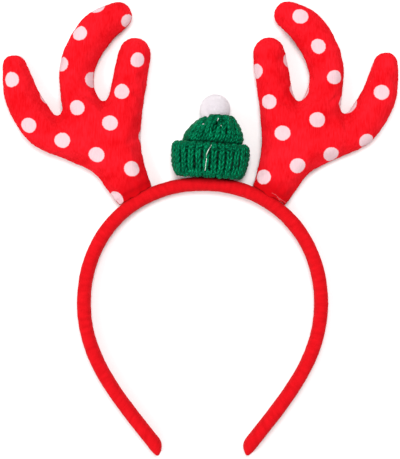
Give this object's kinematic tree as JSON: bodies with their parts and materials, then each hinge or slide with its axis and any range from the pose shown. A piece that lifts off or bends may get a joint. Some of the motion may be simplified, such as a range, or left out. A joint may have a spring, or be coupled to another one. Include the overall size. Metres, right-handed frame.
{
  "type": "reindeer antler headband",
  "caption": "Soft horseshoe headband with two stuffed dotted antlers and a small knitted beanie with a pompom on top.",
  "frame": {"origin": "middle of the whole footprint, on the surface that the headband lies on", "axes": "+X to the right of the picture, +Y from the band's tips to the antlers, +Z out of the headband's front"},
  "size_m": [0.2224, 0.255, 0.022],
  "materials": {
    "band_velour": "brushed red velour wrapped round a padded plastic strip",
    "antler_plush": "short red plush with pale pink printed dots",
    "beanie_yarn": "glossy twisted green acrylic yarn, rib knitted",
    "pompom_pile": "fine white cut pile"
  },
  "bodies": {
    "root": {"headband": "band_velour", "antler_left": "antler_plush", "antler_right": "antler_plush", "beanie_crown": "beanie_yarn", "beanie_cuff": "beanie_yarn", "pompom": "pompom_pile"}
  },
  "joints": []
}
